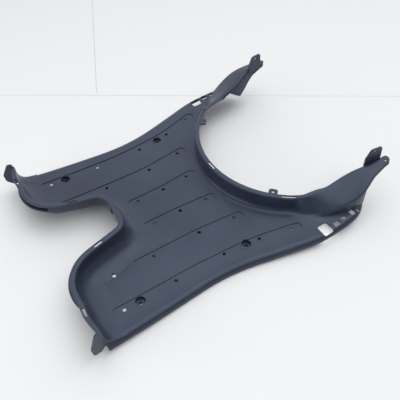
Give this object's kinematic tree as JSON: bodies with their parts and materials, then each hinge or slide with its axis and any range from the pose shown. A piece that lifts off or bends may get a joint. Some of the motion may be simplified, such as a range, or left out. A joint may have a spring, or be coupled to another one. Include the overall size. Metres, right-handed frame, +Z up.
{
  "type": "scooter floorboard",
  "caption": "Moulded scooter footboard with a dished floor, steering arch, seat notch, rolled sides and two forward arms.",
  "frame": {"origin": "middle of the four frame bolts, on the plane of the undersides of their cups", "axes": "+X towards the rider's right, +Y forward, +Z up"},
  "size_m": [0.4256, 0.5505, 0.1044],
  "materials": {
    "floorboard": "dark blue-grey polypropylene with a fine moulded grain"
  },
  "bodies": {
    "root": {"floorboard": "floorboard"}
  },
  "joints": []
}
